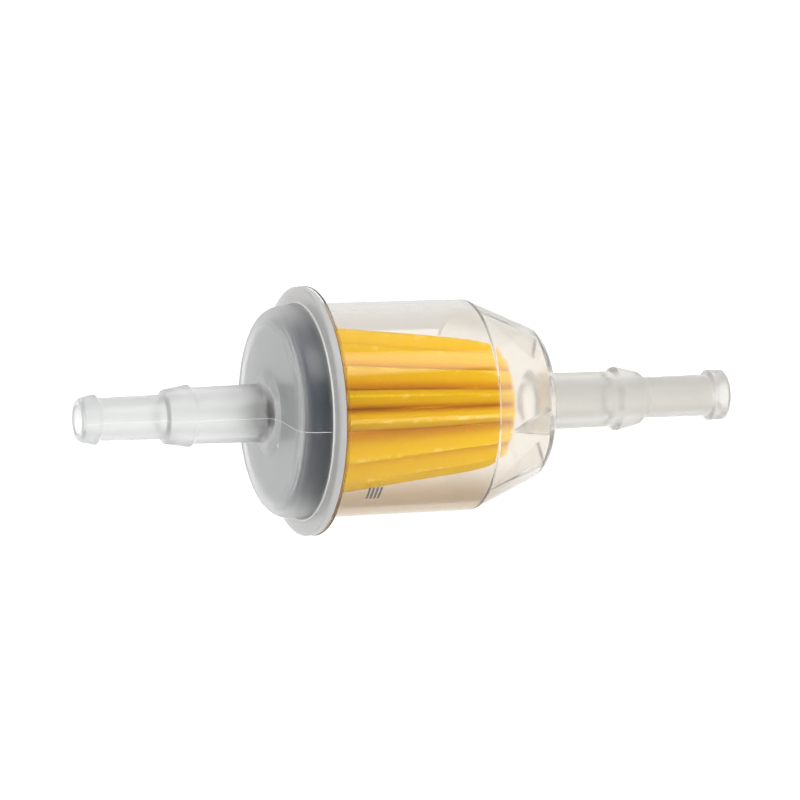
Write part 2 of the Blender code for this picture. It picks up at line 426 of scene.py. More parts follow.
def flash_plastic():
    """Natural polyamide where it is very thin or scuffed. It scatters all light, so it looks pale."""
    made, shader = principled("scuffed_milky_polyamide", colours().milky, 0.5)
    shader.inputs["Subsurface Weight"].default_value = 0.3
    shader.inputs["Subsurface Radius"].default_value = (0.0005, 0.0005, 0.0005)
    return made


def clear_polyamide():
    """Amorphous clear polyamide, moulded in a polished tool. It is glass-like with a faint warm tint.

    Its cylinder is polished, its cone is lightly scuffed, and its thick hose tail is hazy. The IOR is set
    below the real 1.53, so that the wall mirrors less of the room and the paper keeps its colour.
    """
    made, shader = principled("moulded_clear_polyamide", colours().clear, 0.03)
    tree = made.node_tree
    shader.inputs["IOR"].default_value = 1.42
    root = joint() * MM + sizes().bowl_end
    crease = joint() * MM + sizes().bowl_corner
    place = add_node(tree, "ShaderNodeTexCoord")
    parts = add_node(tree, "ShaderNodeSeparateXYZ", {0: place.outputs["Object"]})
    haze = add_node(
        tree,
        "ShaderNodeMapRange",
        {"Value": parts.outputs["X"], "From Min": root - 0.5 * MM, "From Max": root + 2.5 * MM},
        interpolation_type="SMOOTHSTEP",
    )
    worn = add_node(
        tree,
        "ShaderNodeMapRange",
        {"Value": parts.outputs["X"], "From Min": crease - 0.8 * MM, "From Max": crease + 0.8 * MM},
        interpolation_type="SMOOTHSTEP",
    )
    worn_rough = add_node(tree, "ShaderNodeMapRange", {"Value": worn, "To Min": 0.03, "To Max": 0.13})
    worn_through = add_node(tree, "ShaderNodeMapRange", {"Value": worn, "To Min": 1.0, "To Max": 0.94})
    rough = add_node(tree, "ShaderNodeMapRange", {"Value": haze, "To Min": worn_rough, "To Max": 0.3})
    through = add_node(tree, "ShaderNodeMapRange", {"Value": haze, "To Min": worn_through, "To Max": 0.9})
    # Painted warm light: below the axis the bowl's colour turns warmer and darker towards the bottom,
    # standing in for light from the paper.
    depth = add_node(
        tree,
        "ShaderNodeMapRange",
        {"Value": parts.outputs["Z"], "From Min": -8 * MM, "From Max": -15.5 * MM},
        interpolation_type="SMOOTHSTEP",
    )
    body = add_node(tree, "ShaderNodeMix", {"Factor": depth}, data_type="RGBA")
    body.inputs["A"].default_value = (*colours().clear, 1.0)
    body.inputs["B"].default_value = (*colours().clear_low_painted_light, 1.0)
    tint = add_node(tree, "ShaderNodeMix", {"Factor": haze}, data_type="RGBA")
    tree.links.new(body.outputs["Result"], tint.inputs["A"])
    tint.inputs["B"].default_value = (*colours().clear_tail, 1.0)
    tree.links.new(tint.outputs["Result"], shader.inputs["Base Color"])
    tree.links.new(rough.outputs[0], shader.inputs["Roughness"])
    tree.links.new(through.outputs[0], shader.inputs["Transmission Weight"])
    return made


def dark_polyamide():
    """Carbon-black polyamide with a satin moulded skin. It reads as a dark shadow behind the milky wall."""
    return principled("moulded_dark_polyamide", colours().dark, 0.5)[0]


def filter_paper():
    """Cellulose filter paper soaked in yellow phenolic resin and baked. It is matt, with raised fibres.

    Real fibres are too fine to show, so the grain is drawn as small tufts of them. The folds' ridges carry a
    painted highlight in pale tufts, and the valleys carry painted shade in a deeper orange.
    """
    made, shader = principled("resin_filter_paper", colours().paper, 0.85)
    tree = made.node_tree
    place = add_node(tree, "ShaderNodeTexCoord")
    fibres = add_node(
        tree,
        "ShaderNodeTexNoise",
        {
            "Vector": place.outputs["Object"],
            "Scale": 1 / (FIBRE_PITCH * MM),
            "Detail": 4.0,
            "Roughness": 0.8,
        },
    )
    clumps = add_node(
        tree,
        "ShaderNodeTexNoise",
        {"Vector": place.outputs["Object"], "Scale": 1 / (FIBRE_CLUMP * MM), "Detail": 3.0},
    )
    ridge = add_node(tree, "ShaderNodeAttribute", attribute_name="ridge")
    # Painted highlight: pale tufts along the folds' ridges, broken up by clumps of fibres. The specks below
    # are real fibre grain.
    ridge_highlight_clumps = add_node(
        tree,
        "ShaderNodeMath",
        {0: ridge.outputs["Fac"], 1: clumps.outputs["Fac"]},
        operation="MULTIPLY",
    )
    painted_ridge_highlight = add_node(
        tree, "ShaderNodeMapRange", {"Value": ridge_highlight_clumps, "From Min": 0.48, "From Max": 0.62, "To Max": 0.6}
    )
    speck = add_node(
        tree, "ShaderNodeMapRange", {"Value": fibres, "From Min": 0.54, "From Max": 0.76, "To Max": 0.42}
    )
    pale = add_node(tree, "ShaderNodeMath", {0: painted_ridge_highlight, 1: speck}, operation="MAXIMUM")
    colour = add_node(tree, "ShaderNodeMix", {"Factor": pale}, data_type="RGBA")
    # Painted shade: the colour deepens towards the bottom of each fold's valley.
    sunk = add_node(
        tree,
        "ShaderNodeMapRange",
        {"Value": ridge.outputs["Fac"], "From Min": 0.5, "From Max": 0.0, "To Max": 0.85},
    )
    base = add_node(tree, "ShaderNodeMix", {"Factor": sunk}, data_type="RGBA")
    base.inputs["A"].default_value = (*colours().paper, 1.0)
    base.inputs["B"].default_value = (*colours().paper_painted_shade, 1.0)
    tree.links.new(base.outputs["Result"], colour.inputs["A"])
    colour.inputs["B"].default_value = (*colours().paper_fibres_and_highlight, 1.0)
    tree.links.new(colour.outputs["Result"], shader.inputs["Base Color"])
    rise = add_node(tree, "ShaderNodeBump", {"Strength": 0.7, "Distance": 0.16 * MM, "Height": fibres})
    tree.links.new(rise.outputs[0], shader.inputs["Normal"])
    shader.inputs["Specular IOR Level"].default_value = 0.1
    shader.inputs["Subsurface Weight"].default_value = 0.1
    shader.inputs["Subsurface Radius"].default_value = (0.001, 0.0007, 0.0002)
    return made


def brown_card():
    """Dense brown fibre card, punched. Its cut edge is rough and soaks up light."""
    return principled("punched_fibre_card", colours().card, 0.9)[0]


def hot_melt():
    """Hot-melt glue, dropped and left to set. It is waxy, amber and slightly see-through."""
    made, shader = principled("set_hot_melt_glue", colours().glue, 0.3)
    shader.inputs["Subsurface Weight"].default_value = 0.4
    shader.inputs["Subsurface Radius"].default_value = (0.002, 0.001, 0.0005)
    return made


def pad_ink():
    """Grey ink, pad-printed on the polished plastic. It is thin, flat and matt."""
    return principled("grey_pad_ink", colours().ink, 0.6)[0]


def stage_paint():
    """Matt white acrylic, lit from below behind the part, so it stays white and shows no shadow."""
    made, shader = principled("white_lit_acrylic", linear("C0C0C0"), 0.95)
    tree = made.node_tree
    shader.inputs["Specular IOR Level"].default_value = 0.1
    shader.inputs["Emission Color"].default_value = (1.0, 1.0, 1.0, 1.0)
    place = add_node(tree, "ShaderNodeTexCoord")
    parts = add_node(tree, "ShaderNodeSeparateXYZ", {0: place.outputs["Object"]})
    glow = add_node(
        tree,
        "ShaderNodeMapRange",
        {"Value": parts.outputs["Y"], "From Min": -0.2, "From Max": 0.2, "To Min": 0.1, "To Max": 0.85},
        interpolation_type="SMOOTHSTEP",
    )
    tree.links.new(glow.outputs[0], shader.inputs["Emission Strength"])
    return made


# ---------------------------------------------------------------- shapes


def cap_corners():
    """Corners of the cap's section: the outside from tip to rim, then the inside back to the tip."""
    wall = sizes().wall / MM
    tip = low("end_cap").x
    rear = high("end_cap").x
    rim = high("end_cap").z
    face = joint() - sizes().drum_height / MM
    drum = sizes().drum_radius / MM
    front = drum_front()
    groove = DRUM_FOOT + FOOT_GROOVE
    return [
        (tip, 2.85, 0.25),
        (tip + 0.4, 3.18, 0.15),
        (tip + 2.45, 3.62, 0.3),
        (tip + 3.0, 3.06, 0.15),
        (tip + 12.3, 3.2, 0.2),
        (tip + 12.75, 3.9, 0.35),
        (tip + 16.35, 4.49, 0.25),
        (tip + 16.95, 4.06, 0.15),
        (face - 0.55, 4.2, 1.6),
        (face, 6.4, 1.2),
        (face, drum, 2.7),
        (front + 0.3, DRUM_FOOT, 0.08),
        (front + 0.3, groove, 0.08),
        (front, groove, 0.05),
        (front, rim, 0.3),
        (rear, rim, 0.12),
        (rear, drum - wall + 0.3, 0.1),
        (face + wall, drum - wall, 1.5),
        (face + wall, 2.5, 0.35),
        (tip, BORE_TIP, 0.15),
    ]


def flash_tree():
    """Geometry Nodes: a thin raised line that follows a path, copied evenly about the X axis."""
    tree = new_tree(
        "Parting line",
        [
            ("Geometry", "Geometry"), ("Thickness", "Float"), ("First Angle", "Float"),
            ("Material", "Material"),
        ],
    )
    given = add_node(tree, "NodeGroupInput").outputs
    path = add_node(tree, "GeometryNodeMeshToCurve", {0: given["Geometry"]})
    half = add_node(tree, "ShaderNodeMath", {0: given["Thickness"], 1: 0.5}, operation="MULTIPLY")
    section = add_node(tree, "GeometryNodeCurvePrimitiveCircle", {"Resolution": 6, "Radius": half})
    line = add_node(
        tree, "GeometryNodeCurveToMesh", {"Curve": path, "Profile Curve": section, "Fill Caps": True}
    )
    points = add_node(tree, "GeometryNodePoints", {"Count": 2})
    index = add_node(tree, "GeometryNodeInputIndex")
    turn = add_node(
        tree, "ShaderNodeMath", {0: index, 1: math.pi, 2: given["First Angle"]}, operation="MULTIPLY_ADD"
    )
    spin = add_node(tree, "ShaderNodeCombineXYZ", {"X": turn})
    copies = add_node(
        tree, "GeometryNodeInstanceOnPoints", {"Points": points, "Instance": line, "Rotation": spin}
    )
    end_tree(tree, copies, given["Material"])
    return tree


def make_flash():
    """The thin raised line on each side of the cap, where the two halves of its mould met."""
    outline = rounded(cap_corners())
    drum_foot = high("end_cap").x - 0.8
    path = []
    for corner in outline[1:]:
        if corner.x > drum_foot:
            break
        path.append(around(corner.x, corner.y, 0.0))
    base = bpy.data.meshes.new("flash path")
    base.from_pydata(path, [(number, number + 1) for number in range(len(path) - 1)], [])
    finish = flash_plastic()
    values = {"Thickness": 0.07 * MM, "First Angle": math.radians(95), "Material": finish}
    data = run_tree(flash_tree(), "parting_flash", values, base)
    return new_piece("parting_flash", data, finish)


def make_painted_highlight_ring():
    """A thin pale ring round the drum's foot: a painted highlight for the bright line where the groove there
    catches the light.
    """
    front = drum_front()
    top = front - 0.2
    inner = DRUM_FOOT + FOOT_GROOVE
    outer = inner + 0.16
    corners = [(top, inner, 0.05), (top, outer, 0.05), (front, outer, 0.0), (front, inner, 0.0)]
    data = turned("painted_highlight_ring", rounded(corners))
    # The ring is a painted highlight in the pale scuffed plastic, standing for the bright line at the drum's
    # foot.
    return new_piece("painted_highlight_ring", data, flash_plastic())


def make_gate_mark():
    """The small oval left on the drum's face where the plastic entered the mould."""
    made = bmesh.new()
    bmesh.ops.create_uvsphere(made, u_segments=20, v_segments=10, radius=1.0)
    spot = around(low("end_cap").x + CAP_FACE, 6.6, 130) / MM
    for corner in made.verts:
        corner.co = (spot + corner.co * Vector((0.12, 0.2, 0.36))) * MM
    data = bpy.data.meshes.new("gate_mark")
    made.to_mesh(data)
    made.free()
    return new_piece("gate_mark", data, flash_plastic())


def bar_tree():
    """Geometry Nodes: copies of the incoming mesh in a row along the X axis."""
    tree = new_tree(
        "Row of copies",
        [("Geometry", "Geometry"), ("Count", "Int"), ("Pitch", "Float"), ("Material", "Material")],
    )
    given = add_node(tree, "NodeGroupInput").outputs
    pitch = add_node(tree, "ShaderNodeCombineXYZ", {"X": given["Pitch"]})
    row = add_node(tree, "GeometryNodeMeshLine", {"Count": given["Count"], "Offset": pitch})
    copies = add_node(tree, "GeometryNodeInstanceOnPoints", {"Points": row, "Instance": given["Geometry"]})
    end_tree(tree, copies, given["Material"])
    return tree


def make_print():
    """Four plain printed bars low on the bowl, in the place of a mark."""
    start = joint() + 4.9
    width = 0.3
    radius = sizes().bowl_radius / MM
    ink = 0.02
    steps = 8
    points = []
    for step in range(steps + 1):
        angle = 130 + 9 * step / steps
        for x, lift in ((start, -ink), (start, ink), (start + width, ink), (start + width, -ink)):
            points.append(around(x, radius + lift, angle))
    faces = [(3, 2, 1, 0), tuple(4 * steps + number for number in range(4))]
    for step in range(steps):
        for number in range(4):
            here = 4 * step + number
            beside = 4 * step + (number + 1) % 4
            faces.append((here, beside, beside + 4, here + 4))
    finish = pad_ink()
    values = {"Count": 4, "Pitch": 0.58 * MM, "Material": finish}
    data = run_tree(bar_tree(), "printed_bars", values, mesh_data("bar", points, faces))
    return new_piece("printed_bars", data, finish)


def make_end_cap():
    """The milky half, with its drum, its rim and its stepped hose tail."""
    data = turned("cap_moulding", rounded(cap_corners()), FINE_SEGMENTS)
    rim = 17.0 * MM
    for corner in data.vertices:
        out = Vector((0.0, corner.co.y, corner.co.z))
        if out.length > rim:
            place = Vector((corner.co.x / STREAK_WIDTH, out.y / STREAK_LENGTH, out.z / STREAK_LENGTH)) / MM
            corner.co -= out.normalized() * abs(noise.noise(place)) * 0.09 * MM
    cap = new_piece("cap_moulding", data, milky_polyamide(), ["end_cap"])
    cap.visible_shadow = False
    return cap


def bowl_corners():
    """Corners of the bowl's section: the outside from rim to tip, then the inside back to the rim."""
    wall = sizes().wall / MM
    front = low("bowl").x
    rim = high("bowl").z
    tip = high("bowl").x
    radius = sizes().bowl_radius / MM
    corner = joint() + sizes().bowl_corner / MM
    end = joint() + sizes().bowl_end / MM
    slope = sizes().cone_slope
    corner_radius = radius - CORNER_SHRINK
    end_radius = corner_radius - slope * (end - corner)
    inner_end = end - wall
    inner_radius = corner_radius - wall
    return [
        (front, rim, 0.08),
        (joint(), rim, 0.12),
        (joint(), radius, 0.4),
        (corner, corner_radius, 1.0),
        (end, end_radius, 1.6),
        (end, 4.15, 0.7),
        (tip - 18.1, 4.06, 0.3),
        (tip - 17.3, 4.74, 0.4),
        (tip - 13.7, 3.85, 0.5),
        (tip - 12.6, 2.98, 0.5),
        (tip - 2.75, 3.06, 0.2),
        (tip - 2.4, 3.72, 0.2),
        (tip, 3.66, 0.35),
        (tip, BORE_TIP, 0.15),
        (inner_end + 1.8, BORE_BODY, 0.4),
        (inner_end, 3.3, 0.5),
        (inner_end, inner_radius - slope * (inner_end - corner), 0.3),
        (corner, inner_radius, 0.0),
        (front, radius - wall, 0.1),
    ]


def rib_data(first, width, inner):
    """One wedge-shaped rib, standing straight up. It starts narrow and grows towards the flat end."""
    wall = sizes().wall / MM
    narrow = 0.1
    start = joint() + sizes().bowl_corner / MM + first
    end = joint() + sizes().bowl_end / MM - wall
    slope = sizes().cone_slope
    at_start = sizes().bowl_radius / MM - CORNER_SHRINK - wall - slope * first
    at_end = at_start - slope * (end - start)
    outline = [
        (start, at_start),
        (end, inner),
        (end + wall / 2, inner),
        (end + wall / 2, at_end),
        (start, at_start + wall / 2),
    ]
    growth = (width - narrow) / (end - start)
    points = []
    for side in (-0.5, 0.5):
        for x, r in outline:
            points.append(Vector((x, side * (narrow + growth * (x - start)), r)) * MM)
    count = len(outline)
    faces = [tuple(range(count)), tuple(range(2 * count - 1, count - 1, -1))]
    for number in range(count):
        after = (number + 1) % count
        faces.append((number, number + count, after + count, after))
    return mesh_data("rib", points, faces)


def ring_tree():
    """Geometry Nodes: copies of the incoming mesh, evenly spaced about the X axis."""
    tree = new_tree(
        "Ring of copies",
        [("Geometry", "Geometry"), ("Count", "Int"), ("First Angle", "Float"), ("Material", "Material")],
    )
    given = add_node(tree, "NodeGroupInput").outputs
    points = add_node(tree, "GeometryNodePoints", {"Count": given["Count"]})
    step = add_node(tree, "ShaderNodeMath", {0: math.tau, 1: given["Count"]}, operation="DIVIDE")
    index = add_node(tree, "GeometryNodeInputIndex")
    turn = add_node(
        tree, "ShaderNodeMath", {0: index, 1: step, 2: given["First Angle"]}, operation="MULTIPLY_ADD"
    )
    spin = add_node(tree, "ShaderNodeCombineXYZ", {"X": turn})
    copies = add_node(
        tree,
        "GeometryNodeInstanceOnPoints",
        {"Points": points, "Instance": given["Geometry"], "Rotation": spin},
    )
    end_tree(tree, copies, given["Material"])
    return tree


def make_bowl():
    """The clear half, with its cone, the ribs inside it, its thin rim and its stepped hose tail."""
    finish = clear_polyamide()
    data = turned("bowl_moulding", rounded(bowl_corners()))
    shell = bpy.data.objects.new("shell", data)
    bpy.context.scene.collection.objects.link(shell)
    wide = sizes().rib_thickness / MM

    # Name, count and first angle, then a rib by its start past the crease, width and inner radius.
    groups = (
        ("ribs", sizes().rib_count, sizes().rib_first, rib_data(0.4, wide, 7.2)),
        ("near rib", 1, math.radians(101), rib_data(2.0, 2.4 * wide, 8.2)),
    )
    tree = ring_tree()
    added = []
    for name, count, first, rib in groups:
        values = {"Count": count, "First Angle": first, "Material": finish}
        ribs = bpy.data.objects.new(name, run_tree(tree, name, values, rib))
        bpy.context.scene.collection.objects.link(ribs)
        join = shell.modifiers.new(name, "BOOLEAN")
        join.operation = "UNION"
        join.solver = "EXACT"
        join.object = ribs
        added.append(ribs)
    graph = bpy.context.evaluated_depsgraph_get()
    joined = bpy.data.meshes.new_from_object(shell.evaluated_get(graph))
    joined.name = "bowl_moulding"
    if len(joined.polygons) in (0, len(data.polygons)):
        raise RuntimeError("the ribs did not join the bowl")
    for helper in (shell, *added):
        bpy.data.objects.remove(helper)
    bowl = new_piece("bowl_moulding", joined, finish, ["bowl"])
    bowl.visible_shadow = False
    return bowl


def pleat_tree():
    """Geometry Nodes: a sheet rolled into a pleated, blunt cone, with a ridge attribute for its folds."""
    tree = new_tree(
        "Pleated cone",
        [
            ("Pleats", "Int"), ("First Ridge", "Float"), ("Start", "Float"), ("Length", "Float"),
            ("Open Radius", "Float"), ("Closed Radius", "Float"), ("Open Depth", "Float"),
            ("Closed Depth", "Float"), ("Unevenness", "Float"), ("Bluntness", "Float"),
            ("Seed", "Float"), ("Material", "Material"),
        ],
    )
    given = add_node(tree, "NodeGroupInput").outputs
    across = add_node(
        tree, "ShaderNodeMath", {0: given["Pleats"], 1: ACROSS_FOLD, 2: 1.0}, operation="MULTIPLY_ADD"
    )
    grid = add_node(tree, "GeometryNodeMeshGrid", {"Vertices X": across, "Vertices Y": ALONG_CONE})
    place = add_node(tree, "GeometryNodeInputPosition")
    parts = add_node(tree, "ShaderNodeSeparateXYZ", {0: place})
    u = add_node(tree, "ShaderNodeMath", {0: parts.outputs["X"], 1: 0.5}, operation="ADD")
    v = add_node(tree, "ShaderNodeMath", {0: parts.outputs["Y"], 1: 0.5}, operation="ADD")
    angle = add_node(tree, "ShaderNodeMath", {0: u, 1: math.tau}, operation="MULTIPLY")
    sine = add_node(tree, "ShaderNodeMath", {0: angle}, operation="SINE")
    cosine = add_node(tree, "ShaderNodeMath", {0: angle}, operation="COSINE")

    # Folds: the curve spaces them, and smooth noise that closes on itself round the cone bends them.
    slow = add_node(tree, "ShaderNodeMath", {0: v, 1: 0.35}, operation="MULTIPLY")
    where = add_node(tree, "ShaderNodeCombineXYZ", {"X": cosine, "Y": sine, "Z": slow})
    uneven = add_node(
        tree,
        "ShaderNodeTexNoise",
        {"Vector": where, "W": given["Seed"], "Scale": 2.4, "Detail": 1.0},
        noise_dimensions="4D",
    )
    centred = add_node(tree, "ShaderNodeMath", {0: uneven.outputs["Fac"], 1: 0.5}, operation="SUBTRACT")
    offset = add_node(tree, "ShaderNodeMath", {0: given["First Ridge"], 1: math.tau}, operation="DIVIDE")
    moved = add_node(tree, "ShaderNodeMath", {0: u, 1: offset}, operation="SUBTRACT")
    wrapped = add_node(tree, "ShaderNodeMath", {0: moved}, operation="FRACT")
    spaced = add_node(tree, "ShaderNodeFloatCurve", {"Value": wrapped})
    for number, ridge in enumerate(RIDGE_ANGLES, 1):
        spaced.mapping.curves[0].points.new((ridge - FIRST_RIDGE) / 360, number / sizes().pleats)
    spaced.mapping.update()
    phase = add_node(tree, "ShaderNodeMath", {0: spaced, 1: given["Pleats"]}, operation="MULTIPLY")
    bent = add_node(
        tree, "ShaderNodeMath", {0: centred, 1: given["Unevenness"], 2: phase}, operation="MULTIPLY_ADD"
    )
    fold = add_node(tree, "ShaderNodeMath", {0: bent, 1: 0.5}, operation="PINGPONG")
    fold = add_node(tree, "ShaderNodeMath", {0: fold, 1: 2.0}, operation="MULTIPLY")
    soft = add_node(tree, "ShaderNodeMath", {0: fold, 1: 1.3}, operation="POWER")

    # Along the cone: steps get closer towards the closed end, where the folds flatten out (late, kept)
    # and the cone rounds off into a flat face (full, left, envelope).
    quarter = add_node(tree, "ShaderNodeMath", {0: v, 1: math.pi / 2}, operation="MULTIPLY")
    t = add_node(tree, "ShaderNodeMath", {0: quarter}, operation="SINE")
    x = add_node(
        tree, "ShaderNodeMath", {0: t, 1: given["Length"], 2: given["Start"]}, operation="MULTIPLY_ADD"
    )
    full = add_node(tree, "ShaderNodeMath", {0: t, 1: given["Bluntness"]}, operation="POWER")
    left = add_node(tree, "ShaderNodeMath", {0: 1.0, 1: full}, operation="SUBTRACT", use_clamp=True)
    root = add_node(tree, "ShaderNodeMath", {0: 1.0, 1: given["Bluntness"]}, operation="DIVIDE")
    envelope = add_node(tree, "ShaderNodeMath", {0: left, 1: root}, operation="POWER")
    ridge_radius = add_node(
        tree,
        "ShaderNodeMix",
        {"Factor": t, "A": given["Open Radius"], "B": given["Closed Radius"]},
    )
    depth = add_node(
        tree, "ShaderNodeMix", {"Factor": t, "A": given["Open Depth"], "B": given["Closed Depth"]}
    )
    late = add_node(tree, "ShaderNodeMath", {0: t, 1: 40.0}, operation="POWER")
    kept = add_node(tree, "ShaderNodeMath", {0: 1.0, 1: late}, operation="SUBTRACT", use_clamp=True)
    sunk = add_node(tree, "ShaderNodeMath", {0: depth, 1: soft}, operation="MULTIPLY")
    sunk = add_node(tree, "ShaderNodeMath", {0: sunk, 1: kept}, operation="MULTIPLY")
    radius = add_node(tree, "ShaderNodeMath", {0: ridge_radius, 1: sunk}, operation="SUBTRACT")
    radius = add_node(tree, "ShaderNodeMath", {0: radius, 1: envelope}, operation="MULTIPLY")
    y = add_node(tree, "ShaderNodeMath", {0: radius, 1: sine}, operation="MULTIPLY")
    y = add_node(tree, "ShaderNodeMath", {0: y, 1: -1.0}, operation="MULTIPLY")
    z = add_node(tree, "ShaderNodeMath", {0: radius, 1: cosine}, operation="MULTIPLY")
    rolled = add_node(tree, "ShaderNodeCombineXYZ", {"X": x, "Y": y, "Z": z})

    height = add_node(tree, "ShaderNodeMath", {0: 1.0, 1: fold}, operation="SUBTRACT")
    marked = add_node(
        tree, "GeometryNodeStoreNamedAttribute", {"Geometry": grid, "Name": "ridge", "Value": height}
    )
    cone = add_node(tree, "GeometryNodeSetPosition", {"Geometry": marked, "Position": rolled})
    closed = add_node(tree, "GeometryNodeMergeByDistance", {"Geometry": cone, "Distance": 0.01 * MM})
    end_tree(tree, closed, given["Material"])
    return tree


def make_paper():
    """The pleated paper cone, one sheet with its real thickness."""
    start = low("filter_element").x
    end = high("filter_element").x
    values = {
        "Pleats": sizes().pleats,
        "First Ridge": math.radians(FIRST_RIDGE),
        "Start": start * MM,
        "Length": (end - start) * MM,
        "Open Radius": (high("filter_element").z + 0.4) * MM,
        "Closed Radius": 9.2 * MM,
        "Open Depth": sizes().pleat_depth,
        "Closed Depth": 2.4 * MM,
        "Unevenness": 0.35,
        "Bluntness": 14.0,
        "Seed": 3.0,
        "Material": filter_paper(),
    }
    data = faces_out(run_tree(pleat_tree(), "paper", values))
    piece = new_piece("pleated_paper", data, values["Material"], ["filter_element"])
    thick = piece.modifiers.new("paper thickness", "SOLIDIFY")
    thick.thickness = sizes().paper_thickness
    thick.offset = -1.0
    return piece


def make_retaining_cup():
    """The dark cup inside the drum, with a round hole for the fuel."""
    floor = low("retaining_cup").x
    rear = high("retaining_cup").x
    radius = high("retaining_cup").z
    corners = [
        (floor, 4.6, 0.3),
        (floor, radius - 0.4, 1.2),
        (rear, radius, 0.1),
        (rear, radius - 1.0, 0.1),
        (floor + 1.0, radius - 1.4, 0.6),
        (floor + 1.0, 4.6, 0.2),
    ]
    data = turned("dark_cup", rounded(corners))
    return new_piece("dark_cup", data, dark_polyamide(), ["retaining_cup"])


def make_brim():
    """The card ring between the two rims, with a slightly ragged cut edge."""
    start = low("element_brim").x
    end = high("element_brim").x
    outer = high("element_brim").z
    middle = (CARD_HOLE + outer) / 2
    corners = ((start, outer), (end, outer), (end, CARD_HOLE), (start, CARD_HOLE))
    data = turned("card_brim", [Vector(corner) for corner in corners], FINE_SEGMENTS)
    for corner in data.vertices:
        out = Vector((0.0, corner.co.y, corner.co.z))
        if out.length > middle * MM:
            corner.co += out.normalized() * noise.noise(out / (CARD_FRAY * MM)) * 0.06 * MM
    return new_piece("card_brim", data, brown_card(), ["element_brim"])


def make_glue_bead(finish):
    """The bead under the open ends of the pleats."""
    start = low("glue_ring").x
    top = start + 0.5
    outer = high("glue_ring").z
    corners = [(start, CARD_HOLE, 0.1), (start, outer, 0.1), (top, outer, 0.25), (top, CARD_HOLE, 0.25)]
    data = turned("glue_bead", rounded(corners))
    return new_piece("glue_bead", data, finish, ["glue_ring"])


def make_glue_dab(finish):
    """The dab that closes the narrow end, a flattened drop with an uneven edge."""
    start = low("tip_seal").x
    end = high("tip_seal").x
    radius = 0.92 * high("tip_seal").z
    made = bmesh.new()
    bmesh.ops.create_uvsphere(made, u_segments=48, v_segments=24, radius=1.0)
    for corner in made.verts:
        reach = radius * (1.0 + 0.08 * noise.noise(corner.co * 2.0))
        x = start + (end - start) * (corner.co.z * 0.5 + 0.5) ** 0.8
        corner.co = Vector((x, corner.co.x * reach, corner.co.y * reach)) * MM
    data = bpy.data.meshes.new("glue_dab")
    made.to_mesh(data)
    made.free()
    return new_piece("glue_dab", faces_out(data), finish, ["tip_seal"])


# ---------------------------------------------------------------- stage


def make_floor():
    """A round white floor below the filter."""
    made = bmesh.new()
    bmesh.ops.create_circle(made, segments=64, radius=FLOOR_RADIUS, cap_ends=True)
    bmesh.ops.translate(made, verts=made.verts, vec=(0.0, 0.0, -FLOOR_DROP))
    data = bpy.data.meshes.new("studio_floor")
    made.to_mesh(data)
    made.free()
    data.materials.append(stage_paint())
    floor = bpy.data.objects.new("studio_floor", data)
    bpy.context.scene.collection.objects.link(floor)


def make_room():
    """White walls all round, dimmer in front of the filter, so that its edges stand out from the white."""
    world = bpy.data.worlds.new("studio")
    world.use_nodes = True
    tree = world.node_tree
    place = add_node(tree, "ShaderNodeTexCoord")
    parts = add_node(tree, "ShaderNodeSeparateXYZ", {0: place.outputs["Generated"]})
    front = add_node(
        tree,
        "ShaderNodeMapRange",
        {"Value": parts.outputs["Y"], "From Min": -0.97, "From Max": 0.1, "To Min": 0.38, "To Max": 0.92},
        interpolation_type="SMOOTHSTEP",
    )
    sky = tree.nodes["Background"]
    sky.inputs["Color"].default_value = (1.0, 1.0, 1.0, 1.0)
    tree.links.new(front.outputs[0], sky.inputs["Strength"])
    bpy.context.scene.world = world
    bpy.context.scene.view_settings.view_transform = "Standard"


def make_lights():
    """Three round softboxes. Each has a place, a diameter, a power, and whether the plastic mirrors it."""
    lights = (
        ("top_softbox", (0.08, -0.38, 0.58), 0.44, 1.0, True),
        ("left_softbox", (-0.7, -0.05, 0.15), 0.4, 0.5, True),
        ("front_softbox", (0.36, -0.6, 0.02), 0.3, 4.9, False),
    )
    for name, place, size, power, mirrored in lights:
        lamp = bpy.data.lights.new(name, "AREA")
        lamp.shape = "DISK"
        lamp.size = size
        lamp.energy = power
        light = bpy.data.objects.new(name, lamp)
        light.location = place
        light.visible_glossy = mirrored
        light.visible_transmission = mirrored
        light.rotation_euler = Vector(place).to_track_quat("Z", "Y").to_euler()
        bpy.context.scene.collection.objects.link(light)


def make_camera():
    """A long lens that looks at the filter from the cap's side, from slightly above."""
    azimuth = math.radians(VIEW_AZIMUTH)
    elevation = math.radians(VIEW_ELEVATION)
    level = Vector((math.sin(azimuth), -math.cos(azimuth), 0.0))
    back = level * math.cos(elevation) + Vector((0.0, 0.0, math.sin(elevation)))
    lens = bpy.data.cameras.new("camera")
    lens.lens = VIEW_LENS
    lens.sensor_width = SENSOR_WIDTH
    lens.clip_start = 0.01
    camera = bpy.data.objects.new("camera", lens)
    camera.location = VIEW_AIM + back * VIEW_DISTANCE
    camera.rotation_euler = back.to_track_quat("Z", "Y").to_euler()
    bpy.context.scene.collection.objects.link(camera)
    bpy.context.scene.camera = camera


# ---------------------------------------------------------------- add-on


class FILTER_OT_stage(bpy.types.Operator):
    """Make the floor, the lights and the camera"""

    bl_idname = "fuel_filter.stage"
    bl_label = "Stage"

    def execute(self, context):
        make_floor()
        make_room()
        make_lights()
        make_camera()
        return {"FINISHED"}


class FILTER_OT_end_cap(bpy.types.Operator):
    """Make the milky half with its hose tail"""

    bl_idname = "fuel_filter.end_cap"
    bl_label = "End cap"

    def execute(self, context):
        make_end_cap()
        return {"FINISHED"}


class FILTER_OT_marks(bpy.types.Operator):
    """Make the parting lines, the gate mark and the printed bars"""

    bl_idname = "fuel_filter.marks"
    bl_label = "Small marks"

    def execute(self, context):
        make_flash()
        make_painted_highlight_ring()
        make_gate_mark()
        make_print()
        return {"FINISHED"}


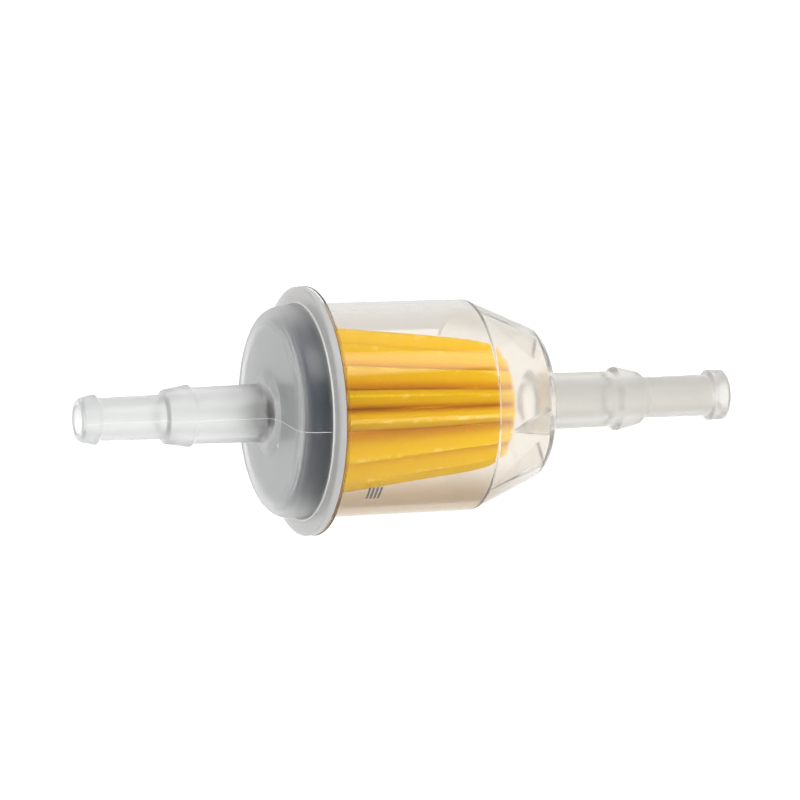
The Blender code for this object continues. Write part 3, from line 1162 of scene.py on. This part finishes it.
class FILTER_OT_bowl(bpy.types.Operator):
    """Make the clear half with its ribs and hose tail"""

    bl_idname = "fuel_filter.bowl"
    bl_label = "Bowl"

    def execute(self, context):
        make_bowl()
        return {"FINISHED"}


class FILTER_OT_paper(bpy.types.Operator):
    """Make the pleated paper cone"""

    bl_idname = "fuel_filter.paper"
    bl_label = "Pleated paper"

    def execute(self, context):
        make_paper()
        return {"FINISHED"}


class FILTER_OT_cup(bpy.types.Operator):
    """Make the dark cup inside the drum"""

    bl_idname = "fuel_filter.cup"
    bl_label = "Retaining cup"

    def execute(self, context):
        make_retaining_cup()
        return {"FINISHED"}


class FILTER_OT_brim(bpy.types.Operator):
    """Make the card brim between the rims"""

    bl_idname = "fuel_filter.brim"
    bl_label = "Card brim"

    def execute(self, context):
        make_brim()
        return {"FINISHED"}


class FILTER_OT_glue(bpy.types.Operator):
    """Make the glue bead, the seam strip's finish and the dab on the tip"""

    bl_idname = "fuel_filter.glue"
    bl_label = "Glue"

    def execute(self, context):
        finish = hot_melt()
        make_glue_bead(finish)
        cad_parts["seam_strip"].material_slots[0].material = finish
        make_glue_dab(finish)
        return {"FINISHED"}


class FILTER_PT_panel(bpy.types.Panel):
    """Lists the filter's sizes, colours and operators"""

    bl_idname = "FILTER_PT_panel"
    bl_label = "Fuel filter"
    bl_space_type = "VIEW_3D"
    bl_region_type = "UI"
    bl_category = "Fuel filter"

    def draw(self, context):
        for group in (sizes(), colours()):
            for name in group.bl_rna.properties.keys():
                if name not in ("rna_type", "name"):
                    self.layout.prop(group, name)
        for operator in OPERATORS:
            self.layout.operator(operator.bl_idname)


OPERATORS = (
    FILTER_OT_stage,
    FILTER_OT_end_cap,
    FILTER_OT_bowl,
    FILTER_OT_paper,
    FILTER_OT_cup,
    FILTER_OT_brim,
    FILTER_OT_glue,
    FILTER_OT_marks,
)
CLASSES = (FilterSizes, FilterColours, *OPERATORS, FILTER_PT_panel)


def register():
    """Registers the classes and gives the scene its sizes and colours."""
    for item in CLASSES:
        bpy.utils.register_class(item)
    bpy.types.Scene.fuel_filter_sizes = bpy.props.PointerProperty(type=FilterSizes)
    bpy.types.Scene.fuel_filter_colours = bpy.props.PointerProperty(type=FilterColours)


def unregister():
    """Takes all of it away again."""
    del bpy.types.Scene.fuel_filter_colours
    del bpy.types.Scene.fuel_filter_sizes
    for item in reversed(CLASSES):
        bpy.utils.unregister_class(item)


def main():
    """Builds every piece in order."""
    register()
    for operator in OPERATORS:
        group, name = operator.bl_idname.split(".")
        getattr(getattr(bpy.ops, group), name)()


if __name__ == "__main__":
    main()
